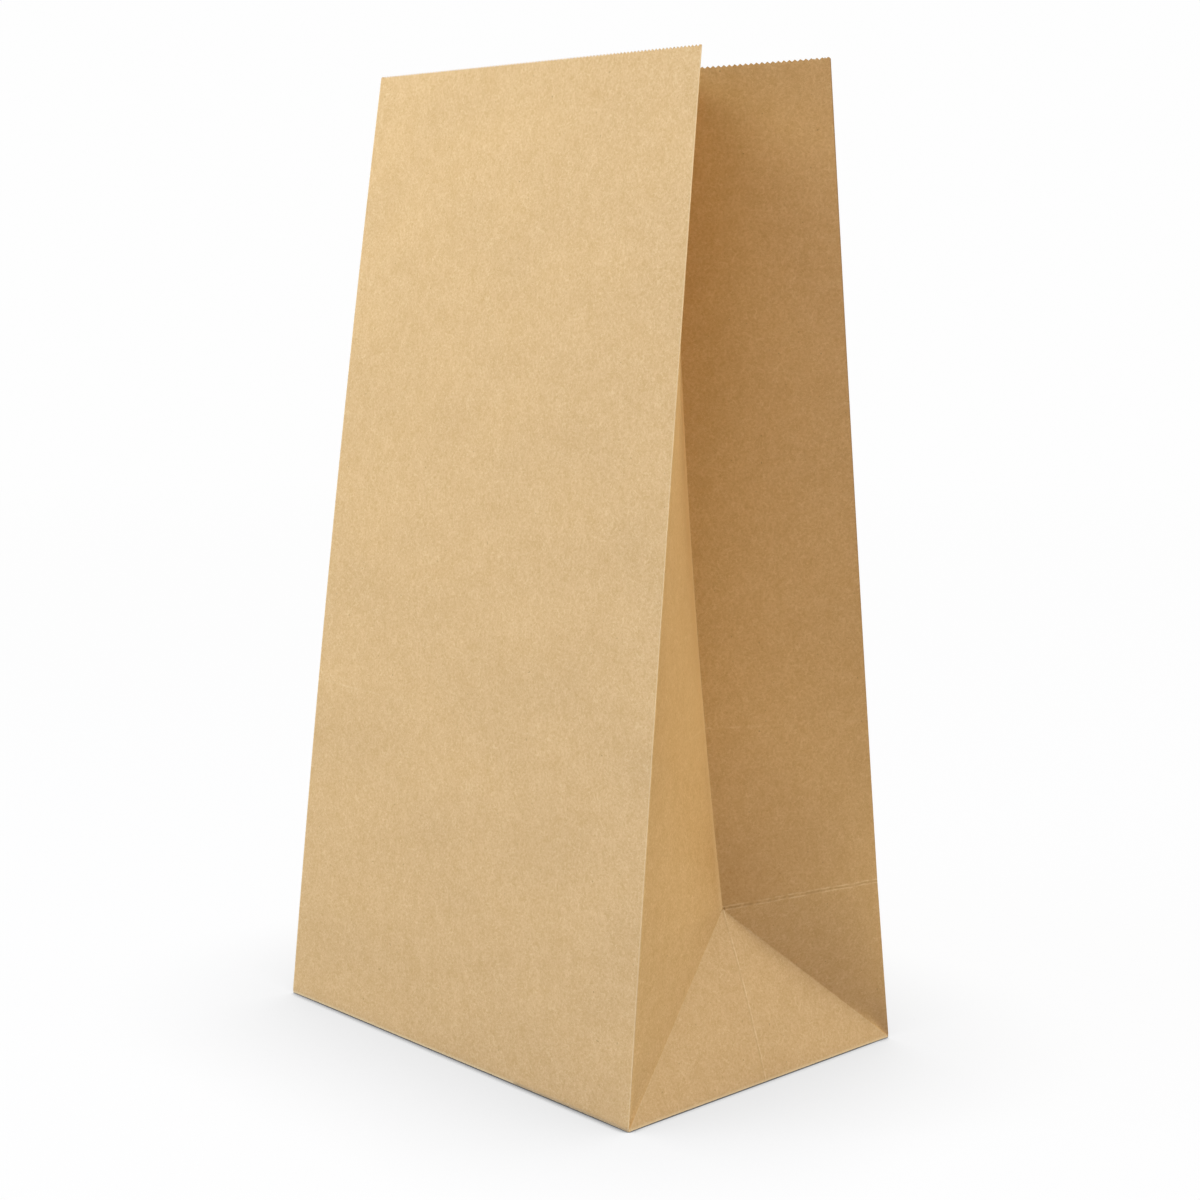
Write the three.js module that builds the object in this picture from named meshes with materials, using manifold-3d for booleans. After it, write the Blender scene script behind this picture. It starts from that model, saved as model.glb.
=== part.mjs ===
// Brown paper lunch bag: one kraft sheet, folded and glued into a self-opening sack, standing open.
// Millimetres, +Z up, front panel towards -Y. The origin is the middle of the base, on the ground.

import * as THREE from "three";
import Module from "manifold-3d";

// Sizes of the bag
const WIDTH = 150; // front and back panels
const DEPTH = 105; // side gussets, unfolded
const HEIGHT = 280; // along the paper, base fold to mouth
const PAPER = 0.15; // one ply of kraft paper
const LAP = 15; // glued overlap of the seam and of the base flaps

// Pinked edge left by the toothed knife
const TOOTH_PITCH = 1.37;
const TOOTH_DEPTH = 0.55;
const RIM_BAND = 3; // plain paper below the teeth

// Fold pressed across the back when the bag was packed flat, and the tucked foot of each gusset
const CREASE_HEIGHT = 48.9;
const FOOT_TILT = THREE.MathUtils.degToRad(19.1); // lean of the foot triangle into the bag
const FOOT_RIDGE = 0.7; // its centre crease stands proud
const BACK_LEAN = 0.135; // slope of the back below the crease

// How far the mouth has been pulled open: y of each corner, and the inward bow of its fold
const FRONT_LEFT = { y: -13.5, bow: 1.9 };
const FRONT_RIGHT = { y: -28.9, bow: 0.6 };
const BACK_LEFT = { y: 20.5, bow: 0.3 };
const BACK_RIGHT = { y: 19.3, bow: 0.3 };

// Gusset centre creases: distance from the middle plane at the mouth, and their bow
const TUCK_LEFT = 36.5;
const TUCK_RIGHT = 40.3;
const TUCK_BOW = 3.5;
const TUCK_DIP = 1.25; // the tucked crease ends this much lower than the corners

const KRAFT = new THREE.MeshStandardMaterial({ color: "#c9a671", roughness: 0.9, metalness: 0 });

const { Manifold, Mesh } = await setUp();

async function setUp() {
  const wasm = await Module();
  wasm.setup();
  return wasm;
}

// Fold lines of the standing bag

// A fold line from base to mouth, given by its y at each height on the paper.
// z follows from the paper's length, which folding doesn't change.
function foldLine(x, yAt, start, end, z, xAt = () => x) {
  const steps = 120;
  const points = [];
  let last = null;
  for (let i = 0; i <= steps; i += 1) {
    const s = start + ((end - start) * i) / steps;
    const p = new THREE.Vector3(xAt(s), yAt(s), z);
    if (last) {
      const run = (end - start) / steps;
      p.z = last.z + Math.sqrt(run ** 2 - (p.x - last.x) ** 2 - (p.y - last.y) ** 2);
    }
    points.push(p);
    last = p;
  }
  return (s) => {
    const t = THREE.MathUtils.clamp(((s - start) / (end - start)) * steps, 0, steps);
    const i = Math.min(Math.floor(t), steps - 1);
    return points[i].clone().lerp(points[i + 1], t - i);
  };
}

const bowed = (from, to, bow, t) => from + (to - from) * t + bow * 4 * t * (t - 1);

function frontFold(side, corner) {
  const yAt = (s) => bowed(-DEPTH / 2, corner.y, corner.bow, s / HEIGHT);
  return foldLine((side * WIDTH) / 2, yAt, 0, HEIGHT, 0);
}

function backFold(side, corner) {
  const kink = DEPTH / 2 - BACK_LEAN * CREASE_HEIGHT;
  const yAt = (s) => {
    if (s <= CREASE_HEIGHT) {
      return DEPTH / 2 - BACK_LEAN * s;
    }
    return bowed(kink, corner.y, corner.bow, (s - CREASE_HEIGHT) / (HEIGHT - CREASE_HEIGHT));
  };
  return foldLine((side * WIDTH) / 2, yAt, 0, HEIGHT, 0);
}

// The gusset's centre crease runs from the top of the foot triangle to the mouth, halfway
// between the front and back folds.
function tuckFold(side, front, back, mouth) {
  const foot = WIDTH / 2 - CREASE_HEIGHT * Math.sin(FOOT_TILT);
  const rise = CREASE_HEIGHT * Math.cos(FOOT_TILT);
  const part = (s) => (s - CREASE_HEIGHT) / (HEIGHT - CREASE_HEIGHT);
  const xAt = (s) => side * bowed(foot, mouth, TUCK_BOW, part(s));
  const yAt = (s) => (front(s).y + back(s).y) / 2;
  const line = foldLine(0, yAt, CREASE_HEIGHT, HEIGHT, rise, xAt);
  return (s) => {
    const p = line(s);
    p.z -= TUCK_DIP * part(s) ** 2;
    return p;
  };
}

const frontLeft = frontFold(-1, FRONT_LEFT);
const frontRight = frontFold(1, FRONT_RIGHT);
const backLeft = backFold(-1, BACK_LEFT);
const backRight = backFold(1, BACK_RIGHT);
const tuckLeft = tuckFold(-1, frontLeft, backLeft, TUCK_LEFT);
const tuckRight = tuckFold(1, frontRight, backRight, TUCK_RIGHT);

// The paper's middle surface, as triangles that face out of the bag

const corners = [];
const triangles = [];
const known = new Map();

function corner(p) {
  const key = [p.x, p.y, p.z].map((c) => Math.round(c * 1e4)).join();
  if (!known.has(key)) {
    known.set(key, corners.length);
    corners.push(p.clone());
  }
  return known.get(key);
}

function triangle(a, b, c) {
  triangles.push([corner(a), corner(b), corner(c)]);
}

const rimStart = HEIGHT - RIM_BAND;

function rowsBetween(start, end, count) {
  return Array.from({ length: count + 1 }, (_, i) => start + ((end - start) * i) / count);
}

// A panel between two fold lines, its columns given as parts of its width.
function panel(left, right, columns, rows) {
  const at = (u, s) => left(s).lerp(right(s), u);
  for (let r = 0; r + 1 < rows.length; r += 1) {
    for (let c = 0; c + 1 < columns.length; c += 1) {
      const [a, b] = [at(columns[c], rows[r]), at(columns[c + 1], rows[r])];
      const [d, e] = [at(columns[c], rows[r + 1]), at(columns[c + 1], rows[r + 1])];
      triangle(a, b, e);
      triangle(a, e, d);
    }
  }
  pinkedRim(at, columns, left(HEIGHT).distanceTo(right(HEIGHT)));
}

// Teeth along the mouth. Each stands on two points of the line between the teeth, and each column's
// share of that line fans out from the two points below it.
function pinkedRim(at, columns, width) {
  const line = HEIGHT - TOOTH_DEPTH;
  for (let c = 0; c + 1 < columns.length; c += 1) {
    const [u0, u1] = [columns[c], columns[c + 1]];
    const [low0, low1] = [at(u0, rimStart), at(u1, rimStart)];
    const teeth = Math.max(2, Math.round(((u1 - u0) * width) / TOOTH_PITCH));
    const middle = Math.floor(teeth / 2);
    const across = (i) => u0 + ((u1 - u0) * i) / teeth;
    for (let i = 0; i < teeth; i += 1) {
      const [a, b] = [at(across(i), line), at(across(i + 1), line)];
      triangle(a, b, at(across(i + 0.5), HEIGHT));
      triangle(i < middle ? low0 : low1, b, a);
    }
    triangle(low0, low1, at(across(middle), line));
  }
}

const seamEdge = LAP / 2 / WIDTH;
const wallColumns = [0, 0.25, 0.5, 0.75, 1];
const halfColumns = [0, 0.5, 1];
const gussetRows = rowsBetween(CREASE_HEIGHT, rimStart, 6);
const wallRows = [0, ...gussetRows];

panel(frontLeft, frontRight, wallColumns, wallRows);
panel(backRight, backLeft, wallColumns, wallRows);
panel(frontRight, tuckRight, halfColumns, gussetRows);
panel(tuckRight, backRight, halfColumns, gussetRows);
panel(backLeft, tuckLeft, halfColumns, gussetRows);
panel(tuckLeft, frontLeft, halfColumns, gussetRows);

// Foot of a gusset: a triangle on the base edge with its point on the centre crease, and the two
// wings beside it that fold up to the corners. first and last are its folds in order round the bag.
function gussetFoot(first, tuck, last) {
  const point = tuck(CREASE_HEIGHT);
  const [base0, base1] = [first(0), last(0)];
  const middle = base0.clone().lerp(base1, 0.5);
  const out = new THREE.Vector3(Math.sign(middle.x), 0, 0);
  const ridge = middle.clone().lerp(point, 0.5).addScaledVector(out, FOOT_RIDGE);
  const [top0, top1] = [first(CREASE_HEIGHT), last(CREASE_HEIGHT)];
  const half0 = top0.clone().lerp(point, 0.5);
  const half1 = point.clone().lerp(top1, 0.5);
  triangle(base0, half0, top0);
  triangle(base0, point, half0);
  triangle(base1, half1, point);
  triangle(base1, top1, half1);
  triangle(base0, ridge, point);
  triangle(base0, middle, ridge);
  triangle(middle, base1, ridge);
  triangle(base1, point, ridge);
}

gussetFoot(frontRight, tuckRight, backRight);
gussetFoot(backLeft, tuckLeft, frontLeft);

// The base is flat, fanned from its middle to every point on its edges.
function base() {
  const at = (left, right, u) => left(0).lerp(right(0), u);
  const edge = [
    ...wallColumns.map((u) => at(frontLeft, frontRight, u)),
    at(frontRight, backRight, 0.5),
    ...wallColumns.map((u) => at(backRight, backLeft, u)),
    at(backLeft, frontLeft, 0.5),
  ];
  const centre = new THREE.Vector3();
  edge.forEach((p, i) => triangle(centre, edge[(i + 1) % edge.length], p));
}

base();

// The paper's thickness

// Where a point of the middle surface goes so that every face round it moves out by one unit.
function outwardSteps() {
  const sums = corners.map(() => ({ square: new Array(9).fill(0), sum: new THREE.Vector3(), count: 0 }));
  for (const t of triangles) {
    const [a, b, c] = t.map((i) => corners[i]);
    const n = new THREE.Triangle(a, b, c).getNormal(new THREE.Vector3());
    const v = n.toArray();
    for (const i of t) {
      sums[i].sum.add(n);
      sums[i].count += 1;
      v.forEach((p, r) => v.forEach((q, k) => (sums[i].square[3 * r + k] += p * q)));
    }
  }
  return sums.map(({ square, sum, count }) => {
    const steady = 1e-3 * count;
    const m = new THREE.Matrix3().set(...square.map((q, i) => (i % 4 ? q : q + steady)));
    return sum.applyMatrix3(m.invert());
  });
}

function skin(steps, distance) {
  return corners.map((p, i) => p.clone().addScaledVector(steps[i], distance));
}

// The open edge of the middle surface, as pairs of points.
function openEdge() {
  const pairs = new Map();
  for (const [a, b, c] of triangles) {
    for (const [p, q] of [[a, b], [b, c], [c, a]]) {
      if (!pairs.delete(`${q},${p}`)) {
        pairs.set(`${p},${q}`, [p, q]);
      }
    }
  }
  return [...pairs.values()];
}

function solidOf(points, faces) {
  const vertProperties = new Float32Array(points.flatMap((p) => p.toArray()));
  const mesh = new Mesh({ numProp: 3, vertProperties, triVerts: new Uint32Array(faces.flat()) });
  mesh.merge();
  return new Manifold(mesh);
}

const steps = outwardSteps();

function bagWalls() {
  const n = corners.length;
  const faces = [...triangles];
  triangles.forEach(([a, b, c]) => faces.push([n + a, n + c, n + b]));
  openEdge().forEach(([p, q]) => faces.push([q, p, n + p], [q, n + p, n + q]));
  return solidOf([...skin(steps, PAPER / 2), ...skin(steps, -PAPER / 2)], faces);
}

// Second ply of the long glued seam, down the middle of the back.
function seamPly() {
  const rows = [0, ...rowsBetween(CREASE_HEIGHT, HEIGHT - 2 * TOOTH_DEPTH, 7)];
  const points = [];
  for (const s of rows) {
    const row = [0.5 - seamEdge, 0.5 + seamEdge].map((u) => backRight(s).lerp(backLeft(s), u));
    const across = row[1].clone().sub(row[0]);
    const along = backRight(Math.min(s + 1, HEIGHT)).sub(backRight(Math.max(s - 1, 0)));
    const out = across.cross(along).normalize();
    row.forEach((p) => points.push(p.clone().addScaledVector(out, 1.5 * PAPER), p));
  }
  const faces = [];
  const quad = (a, b, c, d) => faces.push([a, b, c], [a, c, d]);
  for (let r = 0; r + 1 < rows.length; r += 1) {
    const [i, j] = [4 * r, 4 * (r + 1)];
    quad(i, i + 2, j + 2, j);
    quad(i + 2, i + 3, j + 3, j + 2);
    quad(i + 3, i + 1, j + 1, j + 3);
    quad(i + 1, i, j, j + 1);
  }
  quad(1, 3, 2, 0);
  const e = 4 * (rows.length - 1);
  quad(e, e + 2, e + 3, e + 1);
  return solidOf(points, faces);
}

// A base flap: the panel's lower end folded under, its ends mitred at 45 degrees and its free edge pinked.
function baseFlap(side, thickness) {
  const reach = (DEPTH + LAP) / 2;
  const free = WIDTH / 2 - reach;
  const shape = new THREE.Shape();
  shape.moveTo(-WIDTH / 2, 0);
  shape.lineTo(WIDTH / 2, 0);
  shape.lineTo(free, reach);
  const teeth = Math.max(1, Math.round((2 * free) / TOOTH_PITCH));
  for (let i = 0; i < teeth; i += 1) {
    shape.lineTo(free - (2 * free * (i + 0.5)) / teeth, reach - TOOTH_DEPTH);
    shape.lineTo(free - (2 * free * (i + 1)) / teeth, reach);
  }
  const plate = new THREE.ExtrudeGeometry(shape, { depth: thickness, bevelEnabled: false, steps: 1 });
  if (side > 0) {
    plate.rotateZ(Math.PI);
  }
  plate.translate(0, (side * DEPTH) / 2, 0);
  return fromGeometry(plate);
}

function fromGeometry(geometry) {
  const flat = geometry.index ? geometry.toNonIndexed() : geometry;
  const count = flat.attributes.position.count;
  const points = Array.from({ length: count }, (_, i) => {
    return new THREE.Vector3().fromBufferAttribute(flat.attributes.position, i);
  });
  const faces = Array.from({ length: count / 3 }, (_, i) => [3 * i, 3 * i + 1, 3 * i + 2]);
  return solidOf(points, faces);
}

function toGeometry(solid) {
  const mesh = solid.getMesh();
  const geometry = new THREE.BufferGeometry();
  const positions = [];
  for (let i = 0; i < mesh.vertProperties.length; i += mesh.numProp) {
    positions.push(...mesh.vertProperties.slice(i, i + 3));
  }
  geometry.setAttribute("position", new THREE.Float32BufferAttribute(positions, 3));
  geometry.setIndex([...mesh.triVerts]);
  return geometry;
}

// Below the base ply lie the front flap and, overlapping it, the back flap the bag stands on.
const walls = Manifold.union([bagWalls(), seamPly()]).translate([0, 0, 2.5 * PAPER]);
const frontFlap = baseFlap(-1, 1.5 * PAPER).translate([0, 0, PAPER]);
const backFlap = baseFlap(1, 2.5 * PAPER);
const sheet = Manifold.union([walls, frontFlap, backFlap]);

const bag = new THREE.Mesh(toGeometry(sheet), KRAFT);
bag.name = "bag";

const object = new THREE.Group();
object.name = "paper_lunch_bag";
object.add(bag);

export default object;
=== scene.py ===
import math

import bmesh
import bpy
import numpy as np
from mathutils import Matrix, Vector


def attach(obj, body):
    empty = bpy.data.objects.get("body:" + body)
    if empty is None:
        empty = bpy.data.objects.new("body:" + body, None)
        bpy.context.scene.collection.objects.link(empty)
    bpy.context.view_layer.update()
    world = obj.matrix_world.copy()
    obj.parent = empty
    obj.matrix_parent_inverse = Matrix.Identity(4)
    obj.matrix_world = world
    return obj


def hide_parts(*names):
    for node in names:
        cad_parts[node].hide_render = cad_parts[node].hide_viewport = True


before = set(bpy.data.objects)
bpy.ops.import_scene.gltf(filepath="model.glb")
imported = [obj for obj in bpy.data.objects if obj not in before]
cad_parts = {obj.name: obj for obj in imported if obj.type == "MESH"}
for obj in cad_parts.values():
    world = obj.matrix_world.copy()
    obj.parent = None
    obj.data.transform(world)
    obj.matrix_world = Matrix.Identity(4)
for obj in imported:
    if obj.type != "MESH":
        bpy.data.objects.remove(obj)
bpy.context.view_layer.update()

# The bag: one sheet of brown kraft paper, rolled into a tube with tucked sides, glued down the back and
# across the base, and pressed flat. Here it has been pulled open to stand: the gussets are still half
# tucked in and the mouth is a little twisted.

MM = 0.001
WIDTH, DEPTH, HEIGHT = 150.0, 105.0, 280.0  # in mm, like every size of the bag
PAPER = 0.15
LAP = 15.0  # glued overlap of the seam and of the base flaps
WALL_TEETH, HALF_TEETH = 103, 29  # teeth that the knife cut along the mouth of each panel
TOOTH_DEPTH = 0.55
BESIDE_FOLD = (0.15, 0.4)  # columns of the mesh on each side of a fold, which keep it crisp
FLOOR_GAP = 2.5 * PAPER  # height of the base, which lies on two flaps
BASE_RIM, SOFT_EDGE, EDGE_ROUND = 2.0, 0.3, 0.1  # insets of the rows round the base's soft edge
EDGE_DROP, CORNER_DROP = 0.12, 0.16  # the base's edges droop a little, and its corners down to the floor
EDGE_FADE, CORNER_FADE = 8, 4  # how soon each drop dies out, up the side and along the edge
CREASE_HEIGHT = 48.9  # packing fold across the back
BACK_LEAN = 0.135  # how the back panel leans in below that fold
BACK_BOW = np.array([0.0, 4.0, -1.4])  # how the back panel's middle stands out and hangs at the mouth
FOOT_TILT = math.radians(19.1)  # lean of the foot triangle
FOOT_RIDGE = 0.7  # the foot triangle's middle fold stands out
FOOT_EASE = 2.5  # reach of the soft bend along the triangle's sides
POCKET, POCKET_AT = 0.7, 0.08  # hollow in a gusset beside the base's corners, and its part of the way up
REAR_SWELL, SWELL_RISE = 3.0, 0.37  # a gusset's rear half stands out round the packing fold, and rises
SWELL_ABOVE, SWELL_BELOW = 70.0, 40.0  # reach of that swell up and down the paper
TUCK_BOW, TUCK_DIP = 3.5, 1.1  # how far a tuck bows inwards, and hangs at the mouth


def hump(t):
    """Nought at both ends and one in the middle."""
    return 4 * t * (1 - t)


def bowed(start, end, bow, t):
    return start + (end - start) * t - bow * hump(t)


def above_crease(s):
    return np.clip((s - CREASE_HEIGHT) / (HEIGHT - CREASE_HEIGHT), 0, 1)


def fold_line(x_at, y_at, start, z, steps=600):
    """A fold up to the mouth, by the distance along the paper. Its rise keeps the paper's length."""
    s = np.linspace(start, HEIGHT, steps)
    x, y = x_at(s), y_at(s)
    rise = np.sqrt((s[1] - s[0]) ** 2 - np.diff(x) ** 2 - np.diff(y) ** 2)
    zs = z + np.concatenate([[0.0], np.cumsum(rise)])
    return lambda at: np.array([np.interp(at, s, c) for c in (x, y, zs)])


def front_fold(side, mouth_y, bow):
    return fold_line(
        lambda s: np.full_like(s, side * WIDTH / 2),
        lambda s: bowed(-DEPTH / 2, mouth_y, bow, s / HEIGHT),
        0, FLOOR_GAP,
    )


def back_fold(side, mouth_y, bow):
    kink = DEPTH / 2 - BACK_LEAN * CREASE_HEIGHT
    return fold_line(
        lambda s: np.full_like(s, side * WIDTH / 2),
        lambda s: np.where(
            s < CREASE_HEIGHT, DEPTH / 2 - BACK_LEAN * s, bowed(kink, mouth_y, bow, above_crease(s))
        ),
        0, FLOOR_GAP,
    )


def tuck_fold(side, front, back, mouth_x):
    foot = WIDTH / 2 - CREASE_HEIGHT * math.sin(FOOT_TILT)
    line = fold_line(
        lambda s: side * bowed(foot, mouth_x, TUCK_BOW, above_crease(s)),
        lambda s: (front(s)[1] + back(s)[1]) / 2,
        CREASE_HEIGHT, FLOOR_GAP + CREASE_HEIGHT * math.cos(FOOT_TILT),
    )
    return lambda at: line(at) - np.array([0, 0, TUCK_DIP * above_crease(at) ** 2])


front_left = front_fold(side=-1, mouth_y=-13.5, bow=1.9)
front_right = front_fold(side=1, mouth_y=-28.9, bow=0.6)
back_left = back_fold(side=-1, mouth_y=20.5, bow=0.3)
back_right = back_fold(side=1, mouth_y=19.3, bow=0.3)
tuck_left = tuck_fold(-1, front_left, back_left, mouth_x=36.5)
tuck_right = tuck_fold(1, front_right, back_right, mouth_x=40.3)


def columns(width, teeth):
    """Columns of a panel as parts of its width: two to a tooth, and some close to each fold."""
    close = [gap / width for gap in BESIDE_FOLD]
    plain = [i / (2 * teeth) for i in range(2 * teeth)]
    return np.array(sorted(plain + close + [1 - part for part in close]))


WALL = columns(WIDTH, WALL_TEETH)
HALF = columns(DEPTH / 2, HALF_TEETH)

# The tube has six panels above the packing fold: front, two gusset halves, back, two gusset halves. Below
# it each gusset is a foot triangle between two wings.
UPPER = [WALL, HALF, HALF, WALL, HALF, HALF]
UPPER_TEETH = [WALL_TEETH, HALF_TEETH, HALF_TEETH] * 2
LOWER = [WALL, HALF, HALF, HALF, WALL, HALF, HALF, HALF]
UPPER_STARTS = np.cumsum([0] + [len(p) for p in UPPER])[:-1]
LOWER_STARTS = np.cumsum([0] + [len(p) for p in LOWER])[:-1]
GUSSETS, WINGS, TRIANGLES = (1, 2, 4, 5), (1, 3, 5, 7), (2, 6)
ON_BASE = (0, 2, 4, 6)  # panels with an edge along the base
BEHIND_UPPER, BEHIND_LOWER = (2, 3, 4), (3, 4, 5)  # panels that the packing fold crosses
TUCKS = UPPER_STARTS[[2, 5]]
TRIANGLE_SIDES = LOWER_STARTS[[2, 3, 6, 7]]


def span(start, end, parts):
    return start + (end - start) * parts[:, None]


def soften(ring, folds):
    """Rounds a ring's folds, half way to the middle of their two neighbours."""
    out = ring.copy()
    for i in folds:
        out[i] = 0.5 * ring[i] + 0.25 * (ring[i - 1] + ring[(i + 1) % len(ring)])
    return out


def eased(ring, folds, width):
    """Bends a ring round its folds in a soft curve instead of a sharp edge."""
    out = ring.copy()
    for i in folds:
        run = np.linalg.norm(ring - ring[i], axis=1)
        for k in np.nonzero(run < width)[0]:
            near = np.exp(-((np.linalg.norm(ring - ring[k], axis=1) / (0.5 * width)) ** 2))
            out[k] += (1 - run[k] / width) ** 2 * (near @ ring / near.sum() - ring[k])
    return out


def back_panel(s, parts):
    bow = hump(parts) * above_crease(s) ** 2
    return span(back_right(s), back_left(s), parts) + bow[:, None] * BACK_BOW


def swell_out(panel, side, s):
    """Swells a gusset's rear half or wing round the packing fold."""
    reach = (s - CREASE_HEIGHT) / (SWELL_ABOVE if s > CREASE_HEIGHT else SWELL_BELOW)
    swell = REAR_SWELL * math.exp(-(reach**2)) * min(s / CREASE_HEIGHT, 1)
    panel += swell * hump(HALF)[:, None] * [side, 0, SWELL_RISE]


def upper_ring(s):
    folds = [f(s) for f in (front_left, front_right, tuck_right, back_right, back_left, tuck_left)]
    spans = [span(folds[i], folds[(i + 1) % 6], p) for i, p in enumerate(UPPER)]
    spans[3] = back_panel(s, WALL)
    swell_out(spans[2], 1, s)
    swell_out(spans[4], -1, s)
    return soften(np.concatenate(spans), UPPER_STARTS)


def pinked_ring():
    """The mouth's edge, cut down into teeth along the paper."""
    low, high = upper_ring(HEIGHT - 1.0), upper_ring(HEIGHT)
    along = np.concatenate([parts * teeth for parts, teeth in zip(UPPER, UPPER_TEETH)])
    cut = TOOTH_DEPTH * np.abs(along % 1.0 - 0.5) * 2
    return high + (low - high) * cut[:, None]


def foot_spans(first, tuck, last, q):
    """Wing, foot triangle and wing of a gusset, at a part q of the way up to the triangle's point."""
    s = q * CREASE_HEIGHT
    point = tuck(CREASE_HEIGHT)
    left = first(0) + (point - first(0)) * q
    right = last(0) + (point - last(0)) * q
    spans = [span(first(s), left, HALF), span(left, right, HALF), span(right, last(s), HALF)]
    hollow = POCKET * hump(HALF) * q / POCKET_AT * math.exp(1 - q / POCKET_AT)
    ridge = FOOT_RIDGE * hump(q) * (1 - np.abs(2 * HALF - 1))
    for panel, swell in zip(spans, (-hollow, ridge, -hollow)):
        panel[:, 0] += np.sign(point[0]) * swell
    return spans


def lower_ring(q):
    s = q * CREASE_HEIGHT
    spans = [span(front_left(s), front_right(s), WALL)]
    spans += foot_spans(front_right, tuck_right, back_right, q)
    spans += [back_panel(s, WALL)]
    spans += foot_spans(back_left, tuck_left, front_left, q)
    swell_out(spans[3], 1, s)
    swell_out(spans[5], -1, s)
    for number in ON_BASE:
        drop = CORNER_DROP * (1 - hump(LOWER[number])) ** CORNER_FADE
        spans[number][:, 2] -= (1 - q) ** EDGE_FADE * (EDGE_DROP + drop)
    ring = np.concatenate(spans)
    return eased(ring, TRIANGLE_SIDES, FOOT_EASE * math.sqrt(max(q * (1 - q), 0)))


def crease_ring():
    """The upper tube's lowest ring, with all of each foot triangle's columns in its point."""
    ring = upper_ring(CREASE_HEIGHT)
    spans = np.split(ring, UPPER_STARTS[1:])
    points = [np.repeat(ring[[k]], len(HALF), axis=0) for k in TUCKS]
    return np.concatenate(spans[:2] + points[:1] + spans[2:5] + points[1:] + spans[5:])


def base_ring(inset, lift, level=0.0):
    """The base's outline drawn in by an inset. Each gusset wing has run to a point here."""
    ring = lower_ring(0.0)
    ring *= [1 - 2 * inset / WIDTH, 1 - 2 * inset / DEPTH, 1]
    ring[:, 2] += lift + level * (FLOOR_GAP - ring[:, 2])
    for number in WINGS:
        start = LOWER_STARTS[number]
        ring[start : start + len(HALF)] = ring[(start + len(HALF)) % len(ring)]
    return ring


# Marks that the paper's colours follow. A fold mark above nought makes the paper paler, as wear with a
# painted highlight, and one below nought makes it darker, which also carries painted shade.
FRONT_WEAR_AND_HIGHLIGHT, TUCK_WEAR_AND_HIGHLIGHT, FOOT_WEAR_AND_HIGHLIGHT, BACK_DARK_AND_SEAM_SHADOW, PUCKER_PAINTED_SHADE = 1.0, 0.15, 0.35, -0.6, -1.0
TUCK_FRONT_HIGHLIGHT = (0.5, 0.5, 0.4, 0.2)  # painted highlight on the columns in front of each tuck
BESIDE_SHARE = 0.6  # share of a fold's mark on the column beside it
FAR = 30.0  # stands for out of reach of a line, in mm
SINGLE_AT = 110.0  # from here up a gusset has all of a single ply's painted glow, and half of it at the foot
TUCK_GLOW = 1.2  # how much painted light brightens the front half by each tuck, for light through the ply
HALF_SHADE = 0.25  # how much painted shade darkens a gusset's front half away from the tuck
SHADE_AT = 60.0  # height above the packing fold where the glow and that shade are full
REAR_SHADE, REAR_SHADE_UP = 0.36, 25.0  # painted shade on a rear half by the tuck, just above the packing fold
bm = bmesh.new()
layers = {
    "fold": bm.verts.layers.float.new("fold"),  # folds worn pale with a painted highlight, dark back folds, and painted shade on gussets, puckers and seam
    "rise": bm.verts.layers.float.new("rise"),  # mm above the packing fold, on the panels it crosses
    "centre": bm.verts.layers.float.new("centre"),  # mm off the middle of the foot triangle
    "painted_glow": bm.verts.layers.float.new("painted_glow"),  # painted warm glow where a gusset is a single ply, and painted light by the tuck
}


def over(panels, marked, value, other):
    """One value along the marked panels of a ring and another along the rest."""
    return np.concatenate([np.full(len(p), value if k in marked else other) for k, p in enumerate(panels)])


def fold_marks(panels, starts, fold_tones):
    fold = over(panels, (), 0.0, 0.0)
    for start, value in zip(starts, fold_tones):
        fold[[start - 1, start, start + 1]] = (BESIDE_SHARE * value, value, BESIDE_SHARE * value)
    return fold


def glow_by_height(s):
    return min(0.5 + 0.5 * s / SINGLE_AT, 1.0)


def upper_marks(s):
    fold_tones = (FRONT_WEAR_AND_HIGHLIGHT, FRONT_WEAR_AND_HIGHLIGHT, TUCK_WEAR_AND_HIGHLIGHT, BACK_DARK_AND_SEAM_SHADOW, BACK_DARK_AND_SEAM_SHADOW, TUCK_WEAR_AND_HIGHLIGHT)
    fold = fold_marks(UPPER, UPPER_STARTS, fold_tones)
    # painted highlight on the columns in front of each tuck
    for k, value in enumerate(TUCK_FRONT_HIGHLIGHT, 1):
        fold[TUCKS + [-k, k]] = value
    painted_glow = over(UPPER, GUSSETS, glow_by_height(s), 0.0)
    above = s - CREASE_HEIGHT
    full = min(above / SHADE_AT, 1.0)
    # painted light by the tuck and painted shade away from it on the front halves
    for number, to_tuck in ((1, HALF), (5, 1 - HALF)):  # front halves
        start = UPPER_STARTS[number]
        painted_glow[start : start + len(HALF)] += TUCK_GLOW * full * to_tuck**3
        fold[start : start + len(HALF)] -= HALF_SHADE * full * (1 - to_tuck) * (to_tuck > 0)
    # painted shade on the rear halves by the tuck, just above the packing fold
    rear_shade = REAR_SHADE * math.exp(-((above / REAR_SHADE_UP) ** 2))
    for number, to_tuck in ((2, 1 - HALF), (4, HALF)):  # rear halves
        start = UPPER_STARTS[number]
        fold[start : start + len(HALF)] -= rear_shade * to_tuck * (to_tuck < 1)
    return {
        "fold": fold,
        "rise": over(UPPER, BEHIND_UPPER, above, FAR),
        "centre": over(UPPER, (), 0.0, FAR),
        "painted_glow": painted_glow,
    }


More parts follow.
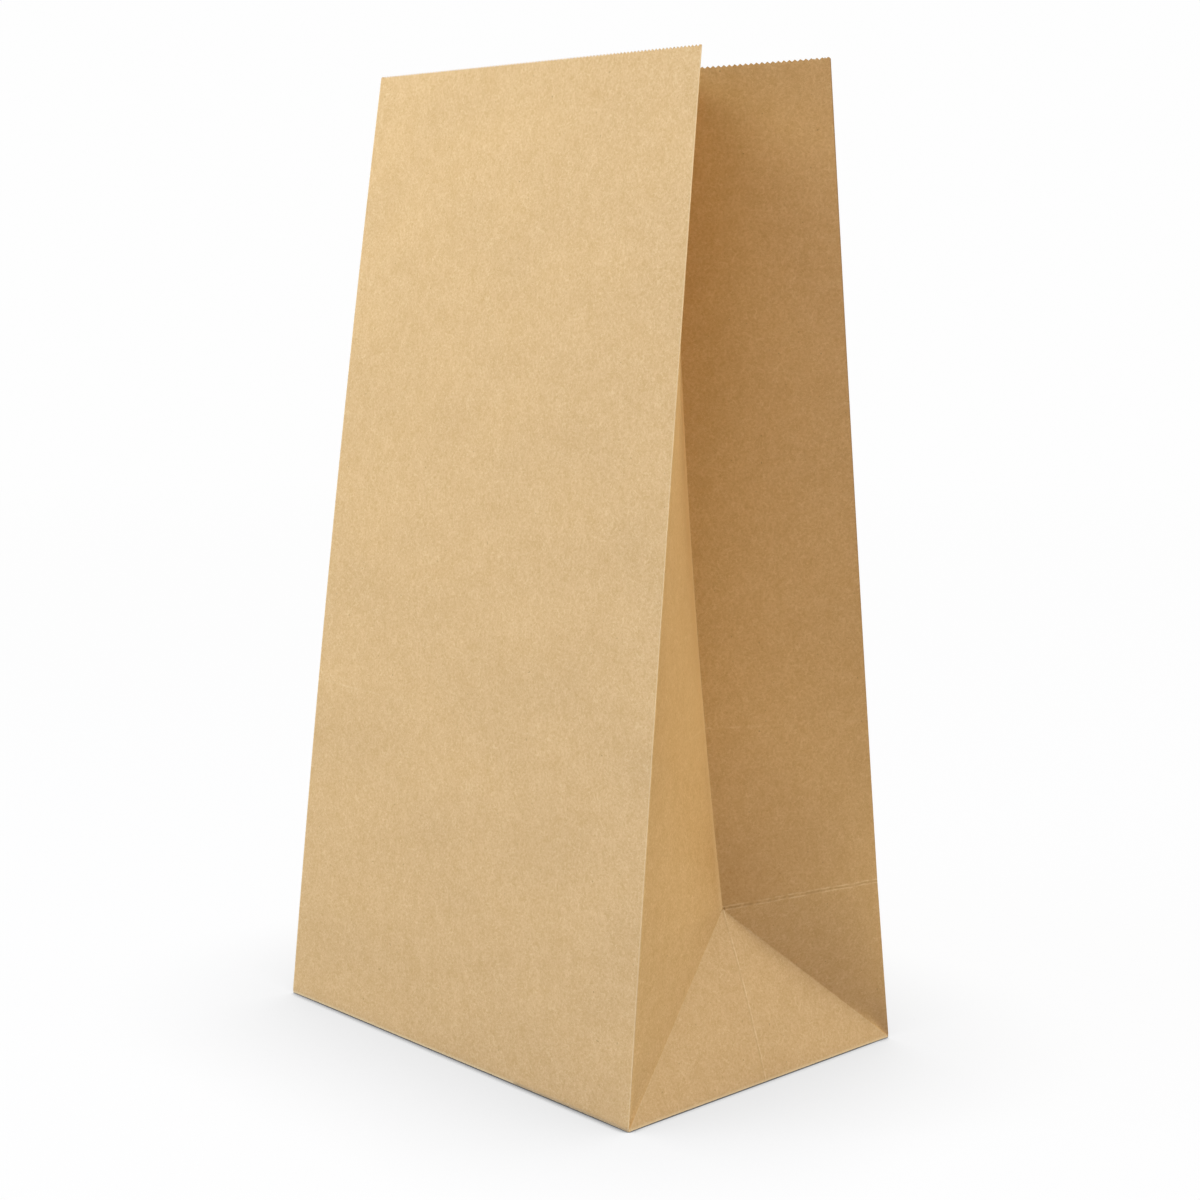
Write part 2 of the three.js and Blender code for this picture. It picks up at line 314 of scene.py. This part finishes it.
def lower_marks(q):
    side = FOOT_WEAR_AND_HIGHLIGHT * (1 - q)
    fold_tones = (FRONT_WEAR_AND_HIGHLIGHT, FRONT_WEAR_AND_HIGHLIGHT, side, side, BACK_DARK_AND_SEAM_SHADOW, BACK_DARK_AND_SEAM_SHADOW, side, side)
    centre = over(LOWER, (), 0.0, FAR)
    for number in TRIANGLES:
        start = LOWER_STARTS[number]
        centre[start : start + len(HALF)] = (HALF - 0.5) * DEPTH * (1 - q)
    return {
        "fold": fold_marks(LOWER, LOWER_STARTS, fold_tones),
        "rise": over(LOWER, BEHIND_LOWER, (q - 1) * CREASE_HEIGHT, FAR),
        "centre": centre,
        "painted_glow": over(LOWER, WINGS, glow_by_height(q * CREASE_HEIGHT), 0.0),
    }


def edge_marks(edge_wear_and_highlight):
    return lower_marks(0.0) | {"fold": over(LOWER, (), 0.0, edge_wear_and_highlight)}


def lay_sheet(rows, marks, closed):
    """Makes a flat grid of paper and lays each of its rows along a line. A closed one runs round."""
    across = len(rows[0]) if closed else len(rows[0]) - 1
    up = len(rows) - 1
    grid = bmesh.ops.create_grid(bm, x_segments=across, y_segments=up, size=0.5)
    for v in grid["verts"]:
        i = round((v.co.x + 0.5) * across) % len(rows[0])
        j = round((v.co.y + 0.5) * up)
        v.co = rows[j][i] * MM
        for name, layer in layers.items():
            v[layer] = marks[j][name][i]


# The tube above the packing fold, with rows closer together beside the fold and under the teeth, and a small
# painted shade at each foot triangle's point, where the paper puckers.
heights = [CREASE_HEIGHT + up for up in (0, 0.6, 1.4, 3, 6, 10)]
heights += list(np.linspace(CREASE_HEIGHT + 16, HEIGHT - 4, 26))
heights += [HEIGHT - TOOTH_DEPTH - 0.6]
rows = [upper_ring(s) for s in heights] + [pinked_ring()]
marks = [upper_marks(s) for s in heights + [HEIGHT]]
for tuck in TUCKS:
    marks[0]["fold"][tuck - 2 : tuck + 3] = PUCKER_PAINTED_SHADE
lay_sheet(rows, marks, True)

# The foot below it, from the flat of the base round its soft edge and up to the fold. The soft edge is worn
# pale, with a painted highlight.
parts_up = [0.02, 0.05, 0.1, 0.18, 0.28, 0.38, 0.48, 0.58, 0.68, 0.78, 0.86, 0.93, 0.97, 0.988]
rows = [base_ring(BASE_RIM, 0.0, level=1.0), base_ring(2 * SOFT_EDGE, 0.0), base_ring(SOFT_EDGE, 0.0)]
rows += [base_ring(EDGE_ROUND, EDGE_ROUND)]
rows += [soften(lower_ring(q), LOWER_STARTS) for q in parts_up] + [crease_ring()]
marks = [edge_marks(0.0)] * 3 + [edge_marks(FRONT_WEAR_AND_HIGHLIGHT)] + [lower_marks(q) for q in parts_up + [1.0]]
lay_sheet(rows, marks, True)

WELD = 0.00001  # joins only what meets exactly
bmesh.ops.remove_doubles(bm, verts=bm.verts, dist=WELD * MM)
low_edges = [e for e in bm.edges if e.is_boundary and e.verts[0].co.z < CREASE_HEIGHT * MM]
bmesh.ops.contextual_create(bm, geom=low_edges)

# Base flaps, each a trapezoid with mitred ends and a pinked free edge, set by the middle of its ply. The back
# one lies under the front one.
FLAP_INSET = 1.2
for side, low in ((-1, 1.45 * PAPER), (1, 0.5 * PAPER)):
    reach = (DEPTH + LAP) / 2
    free = WIDTH / 2 - reach
    teeth = round(WALL_TEETH * 2 * free / WIDTH)
    points = [(FLAP_INSET - WIDTH / 2, FLAP_INSET), (WIDTH / 2 - FLAP_INSET, FLAP_INSET)]
    points += [(free - free * i / teeth, reach - TOOTH_DEPTH * (i % 2)) for i in range(2 * teeth + 1)]
    flap = [bm.verts.new(Vector((-side * x, side * (DEPTH / 2 - y), low)) * MM) for x, y in points]
    for v in flap:
        v[layers["rise"]] = v[layers["centre"]] = FAR
    bmesh.ops.contextual_create(bm, geom=flap)

# Glued seam down the back: the outer ply rises out of the panel on one side and ends in a free edge, which
# has a thin painted shadow line.
lap = np.append(np.linspace(-LAP / 2, LAP / 2 - BESIDE_FOLD[1], 13), LAP / 2)
stands = PAPER * np.interp(lap, [-LAP / 2, -LAP / 4, LAP / 2], [-0.6, 1.0, 1.0])  # in plies
plain = np.zeros(len(lap))
edge = np.append(plain[1:], BACK_DARK_AND_SEAM_SHADOW)
seam_heights = [0.6, 15, 30] + heights[:1] + heights[4:]
rows, marks = [], []
for s in seam_heights:
    points = back_panel(s, lap / WIDTH + 0.5)
    out = np.cross(points[-1] - points[0], back_right(s + 0.5) - back_right(s - 0.5))
    rows.append(points + stands[:, None] * out / np.linalg.norm(out))
    marks.append({"fold": edge, "rise": plain + s - CREASE_HEIGHT, "centre": plain + FAR, "painted_glow": plain})
lay_sheet(rows, marks, False)

bmesh.ops.recalc_face_normals(bm, faces=bm.faces)
for face in bm.faces:
    face.smooth = True
mesh = bpy.data.meshes.new("bag_paper")
bm.to_mesh(mesh)
bm.free()
bag = bpy.data.objects.new("bag_paper", mesh)
bpy.context.scene.collection.objects.link(bag)
ply = bag.modifiers.new("ply", "SOLIDIFY")
ply.thickness = PAPER * MM
ply.offset = 0.0
crisp = bag.modifiers.new("crisp", "EDGE_SPLIT")
crisp.split_angle = math.radians(60)


def linear(hex_colour):
    """A given colour, as the renderer's linear light."""
    values = [int(hex_colour[i : i + 2], 16) / 255 for i in (1, 3, 5)]
    return [v / 12.92 if v <= 0.04045 else ((v + 0.055) / 1.055) ** 2.4 for v in values] + [1.0]


def node(tree, kind, inputs, out=0, **settings):
    """Adds a node, sets its properties, sets or links its inputs, and gives back one of its outputs."""
    made = tree.nodes.new(kind)
    for name, value in settings.items():
        setattr(made, name, value)
    for name, value in inputs.items():
        if isinstance(value, bpy.types.NodeSocket):
            tree.links.new(value, made.inputs[name])
        else:
            made.inputs[name].default_value = value
    return made.outputs[out]


# Kraft paper, machine finished: warm tan and quite matt. Up close it has a felt of pale curled fibres and a
# soft cloudy tone, with a rare dark speck. Its folds are worn paler with a painted highlight, and a pressed
# fold shows as pale lines beside a dark one. The gussets have a painted warm glow, for light from inside
# through their single ply, and painted soft shades. Real fibres are a few hundredths of a mm wide, so they
# are drawn about five times wider.
CLOUD, GRAIN, SPECK, BREAK, SWELL = 4.3, 0.77, 0.9, 2.4, 36.0  # mm from one patch of a pattern to the next
FIBRE_LOOPS = (2.4, 1.7, 1.2)
PER_METRE = 1 / MM
paper = bpy.data.materials.new("brown_kraft_paper")
paper.use_nodes = True
tree = paper.node_tree
shader = tree.nodes["Principled BSDF"]
place = node(tree, "ShaderNodeTexCoord", {}, "Object")


def line_at(value, at, width, depth):
    """A line where a value has one level: its depth there, fading to nothing a width away."""
    gap = node(tree, "ShaderNodeMath", {0: value, 1: at}, operation="SUBTRACT")
    gap = node(tree, "ShaderNodeMath", {0: gap}, operation="ABSOLUTE")
    fade = {"Value": gap, "From Max": width, "To Min": depth, "To Max": 0.0}
    return node(tree, "ShaderNodeMapRange", fade)


def fibres(loop):
    """Thin curled lines along a noise's middle level."""
    wave = {"Vector": place, "Scale": PER_METRE / loop, "Detail": 0.0, "Distortion": 1.6}
    return line_at(node(tree, "ShaderNodeTexNoise", wave), 0.5, 0.03, 1.0)


felt = fibres(FIBRE_LOOPS[0])
for loop in FIBRE_LOOPS[1:]:
    felt = node(tree, "ShaderNodeMath", {0: felt, 1: fibres(loop)}, operation="ADD")
billow = {"Vector": place, "Scale": PER_METRE / CLOUD, "Detail": 3.0, "Distortion": 0.4}
cloud = node(tree, "ShaderNodeTexNoise", billow)
grain = node(tree, "ShaderNodeTexNoise", {"Vector": place, "Scale": PER_METRE / GRAIN})
speck = node(tree, "ShaderNodeTexNoise", {"Vector": place, "Scale": PER_METRE / SPECK, "Detail": 0.0})
broken = node(tree, "ShaderNodeTexNoise", {"Vector": place, "Scale": PER_METRE / BREAK, "Detail": 1.0})
swell = node(tree, "ShaderNodeTexNoise", {"Vector": place, "Scale": PER_METRE / SWELL, "Detail": 1.0})

# Lines of the packing fold, of the foot triangle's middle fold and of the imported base's edge, all in mm.
# They wander a little, and the pale ones are broken.
PRINT_HEIGHT = 2 * CREASE_HEIGHT - 0.6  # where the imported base's edge lay
wander = node(tree, "ShaderNodeMapRange", {"Value": cloud, "To Min": -0.4, "To Max": 0.4})
rise = node(tree, "ShaderNodeAttribute", {}, "Fac", attribute_name="rise")
rise = node(tree, "ShaderNodeMath", {0: rise, 1: wander}, operation="ADD")
centre = node(tree, "ShaderNodeAttribute", {}, "Fac", attribute_name="centre")
centre = node(tree, "ShaderNodeMath", {0: wander, 1: 0.6, 2: centre}, operation="MULTIPLY_ADD")
height = node(tree, "ShaderNodeSeparateXYZ", {"Vector": place}, "Z")
up_print = node(tree, "ShaderNodeMath", {0: height, 1: PER_METRE, 2: wander}, operation="MULTIPLY_ADD")
shown = node(tree, "ShaderNodeMapRange", {"Value": swell, "From Min": 0.45, "From Max": 0.6})
printed = line_at(up_print, PRINT_HEIGHT, 0.5, 0.3)
pale = node(tree, "ShaderNodeMath", {0: printed, 1: shown}, operation="MULTIPLY")
for value, at, width, depth in ((rise, 0.55, 0.35, 1.0), (rise, -0.45, 0.3, 0.9), (centre, 0.35, 0.3, 0.8)):
    line = line_at(value, at, width, depth)
    pale = node(tree, "ShaderNodeMath", {0: pale, 1: line}, operation="MAXIMUM")
left_over = {"Value": broken, "From Min": 0.35, "From Max": 0.6, "To Min": 0.15}
left_over = node(tree, "ShaderNodeMapRange", left_over)
pale = node(tree, "ShaderNodeMath", {0: pale, 1: left_over}, operation="MULTIPLY")
back_line, foot_line = line_at(rise, 0.05, 0.3, 0.8), line_at(centre, -0.2, 0.3, 0.9)
dark = node(tree, "ShaderNodeMath", {0: back_line, 1: foot_line}, operation="MAXIMUM")

fold = node(tree, "ShaderNodeAttribute", {}, "Fac", attribute_name="fold")
painted_glow = node(tree, "ShaderNodeAttribute", {}, "Fac", attribute_name="painted_glow")
facing = node(tree, "ShaderNodeNewGeometry", {}, "True Normal")
upward = node(tree, "ShaderNodeSeparateXYZ", {"Vector": facing}, "Z")
upward = node(tree, "ShaderNodeMapRange", {"Value": upward, "From Min": 0.3, "From Max": 0.6})
near_mouth = {"Value": height, "From Min": 0.25, "From Max": 0.26, "To Max": 0.75}
near_mouth = node(tree, "ShaderNodeMapRange", near_mouth)
cut_edge = node(tree, "ShaderNodeMath", {0: upward, 1: near_mouth}, operation="MULTIPLY")

# Each tone is laid over the ones before it: how it is laid, its colour, and how much of it shows.
tone = linear("#d8b98c")
for laid, colour, amount in (
    ("MIX", "#e0c298", {"Value": cloud, "From Min": 0.3, "From Max": 0.7}),
    ("MIX", "#c8a472", {"Value": grain, "From Min": 0.38, "From Max": 0.78, "To Max": 0.62}),
    ("MIX", "#f2dcb6", {"Value": felt, "To Max": 0.4}),
    ("MIX", "#8f6c40", {"Value": speck, "From Min": 0.855, "From Max": 0.88, "To Max": 0.4}),
    ("MIX", "#f6e4c2", {"Value": pale, "To Max": 0.75}),
    ("MIX", "#7d5327", {"Value": dark, "To Max": 0.14}),
    # folds worn pale, with a painted highlight
    ("MIX", "#f6e4c2", {"Value": fold, "To Max": 0.75}),
    # darker back folds, and painted shade on the gussets, the puckers and the seam's free edge
    ("MIX", "#8a5f2c", {"Value": fold, "From Max": -1.0, "To Max": 0.8}),
    # painted warm glow through a gusset's single ply
    ("MULTIPLY", "#fff4dd", {"Value": painted_glow}),
    # painted light in front of each tuck
    ("MIX", "#ffdca0", {"Value": painted_glow, "From Min": 1.0, "From Max": 2.0, "To Max": 0.5}),
    ("MIX", "#8f6a3a", {"Value": cut_edge}),
):
    over_it = {0: node(tree, "ShaderNodeMapRange", amount), 6: tone, 7: linear(colour)}
    tone = node(tree, "ShaderNodeMix", over_it, 2, data_type="RGBA", blend_type=laid)
tree.links.new(tone, shader.inputs["Base Color"])
shader.inputs["Roughness"].default_value = 0.9
shader.inputs["Specular IOR Level"].default_value = 0.1

# The felt, the grain and the pressed lines stand out by hundredths of a mm, and the sheet isn't quite flat.
SKIN_DEPTH, SHEET_DEPTH = 0.06, 1.2
relief = node(tree, "ShaderNodeMath", {0: felt, 1: 0.5, 2: grain}, operation="MULTIPLY_ADD")
pressed = node(tree, "ShaderNodeMath", {0: pale, 1: dark}, operation="SUBTRACT")
relief = node(tree, "ShaderNodeMath", {0: pressed, 1: 0.3, 2: relief}, operation="MULTIPLY_ADD")
skin = node(tree, "ShaderNodeBump", {"Height": relief, "Strength": 0.2, "Distance": SKIN_DEPTH * MM})
bent = {"Height": swell, "Normal": skin, "Strength": 1.0, "Distance": SHEET_DEPTH * MM}
tree.links.new(node(tree, "ShaderNodeBump", bent), shader.inputs["Normal"])
mesh.materials.append(paper)

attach(bag, "root")
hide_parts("bag")

# The floor: a plain sheet of white paper, laid flat under the bag and far out on every side. The camera
# sees it near white with a soft shadow of the bag, mostly painted from how much sky the bag hides and a
# little cast by the lights, and the bag gets back only a little of its light.

FLOOR_REACH = 6.0  # in metres, like the other sizes from here on
bm = bmesh.new()
bmesh.ops.create_grid(bm, x_segments=1, y_segments=1, size=FLOOR_REACH)
floor_mesh = bpy.data.meshes.new("floor")
bm.to_mesh(floor_mesh)
bm.free()
floor = bpy.data.objects.new("floor", floor_mesh)
bpy.context.scene.collection.objects.link(floor)


def seen_by_eye(tree):
    """One for what the camera sees, also in gloss or through glass, and nought for light on the bag."""
    seen = node(tree, "ShaderNodeLightPath", {}, "Is Camera Ray")
    for ray in ("Is Glossy Ray", "Is Transmission Ray"):
        also = node(tree, "ShaderNodeLightPath", {}, ray)
        seen = node(tree, "ShaderNodeMath", {0: seen, 1: also}, operation="MAXIMUM")
    return seen


# White paper: even white, with painted shade a little greyer close to the bag, and a darker painted shadow
# only in the thin gap under its edges.
SHADE_REACH, GAP_REACH = 0.07, 0.005
white = bpy.data.materials.new("white_paper")
white.use_nodes = True
tree = white.node_tree
shader = tree.nodes["Principled BSDF"]
seen = seen_by_eye(tree)
spot = node(tree, "ShaderNodeTexCoord", {}, "Object")
reach = node(tree, "ShaderNodeVectorMath", {0: spot}, "Value", operation="LENGTH")
far = node(tree, "ShaderNodeMapRange", {"Value": reach, "From Min": 0.4, "From Max": 1.4})
open_sky = node(tree, "ShaderNodeAmbientOcclusion", {"Distance": SHADE_REACH}, "AO", samples=16)
shade = {"Value": open_sky, "From Min": 0.45, "To Min": 0.74, "To Max": 0.935}
close_sky = node(tree, "ShaderNodeAmbientOcclusion", {"Distance": GAP_REACH}, "AO", samples=16)
gap = {"Value": close_sky, "From Min": 0.45, "From Max": 0.75, "To Min": 0.12}
shade = {0: node(tree, "ShaderNodeMapRange", shade), 1: node(tree, "ShaderNodeMapRange", gap)}
shade = node(tree, "ShaderNodeMath", shade, operation="MULTIPLY")
glow = node(tree, "ShaderNodeMapRange", {"Value": far, "To Min": shade, "To Max": 0.99})
glow = node(tree, "ShaderNodeMath", {0: seen, 1: glow}, operation="MULTIPLY")
tone = {0: far, 6: linear("#313238"), 7: linear("#000000")}
tone = node(tree, "ShaderNodeMix", tone, 2, data_type="RGBA")
tone = node(tree, "ShaderNodeMix", {0: seen, 6: linear("#a0a0a0"), 7: tone}, 2, data_type="RGBA")
tree.links.new(tone, shader.inputs["Base Color"])
tree.links.new(glow, shader.inputs["Emission Strength"])
shader.inputs["Emission Color"].default_value = linear("#ffffff")
shader.inputs["Roughness"].default_value = 0.9
shader.inputs["Specular IOR Level"].default_value = 0.0
floor_mesh.materials.append(white)

# Studio light: a soft box high in front, a weak one in front on the right, two behind on the right, and a
# warm wide light straight above. The world is white to the eye and gives the bag very little light.


def light(name, kind, at, energy, colour):
    """A light that points at the middle of the bag."""
    data = bpy.data.lights.new(name, kind)
    data.energy = energy
    data.color = linear(colour)[:3]
    made = bpy.data.objects.new(name, data)
    made.location = at
    made.rotation_mode = "QUATERNION"
    made.rotation_quaternion = (Vector(at) - Vector((0, 0, HEIGHT / 2)) * MM).to_track_quat("Z", "Y")
    bpy.context.scene.collection.objects.link(made)
    return data


light("key", "AREA", (-0.3, -0.6, 0.9), 6.3, "#f5fcf7").size = 0.5
light("front_fill", "AREA", (0.35, -0.95, 0.35), 2.0, "#eee4ff").size = 0.6
light("back_right", "AREA", (0.4, 1.0, 0.3), 4.6, "#fbfff6").size = 0.5
light("side", "AREA", (1.0, 0.5, 0.35), 2.0, "#ffe1c8").size = 0.5
light("overhead", "SUN", (0, 0, 1.5), 3.95, "#fff7e0").angle = math.radians(50)

world = bpy.data.worlds.new("studio")
world.use_nodes = True
tree = world.node_tree
level = {"Value": seen_by_eye(tree), "To Min": 0.015, "To Max": 0.99}
around = tree.nodes["Background"]
around.inputs["Color"].default_value = linear("#ffffff")
tree.links.new(node(tree, "ShaderNodeMapRange", level), around.inputs["Strength"])
bpy.context.scene.world = world

# Camera: eye a little below the mouth, turned so that the front panel and the right gusset share the
# picture. Its lens and place come from fitting the bag's corners in the photo.

AZIMUTH, ELEVATION, ROLL = math.radians(47.013), math.radians(9.59), math.radians(0.128)
LENS, PICTURE = 2321.57, 1200  # in pixels of the photo
SENSOR = 36.0
AIM = Vector((7.2275, 0, 126.8546 + FLOOR_GAP)) * MM
AWAY = 671.48 * MM
level_back = Vector((math.sin(AZIMUTH), -math.cos(AZIMUTH), 0))
back = level_back * math.cos(ELEVATION) + Vector((0, 0, math.sin(ELEVATION)))
right = Vector((math.cos(AZIMUTH), math.sin(AZIMUTH), 0))
up = back.cross(right)
camera_data = bpy.data.cameras.new("camera")
camera_data.sensor_width = SENSOR
camera_data.lens = SENSOR * LENS / PICTURE
camera = bpy.data.objects.new("camera", camera_data)
turned = Matrix((
    right * math.cos(ROLL) + up * math.sin(ROLL), up * math.cos(ROLL) - right * math.sin(ROLL), back
)).transposed().to_4x4()
turned.translation = AIM + back * AWAY
camera.matrix_world = turned
bpy.context.scene.collection.objects.link(camera)
bpy.context.scene.camera = camera
bpy.context.scene.view_settings.view_transform = "Standard"
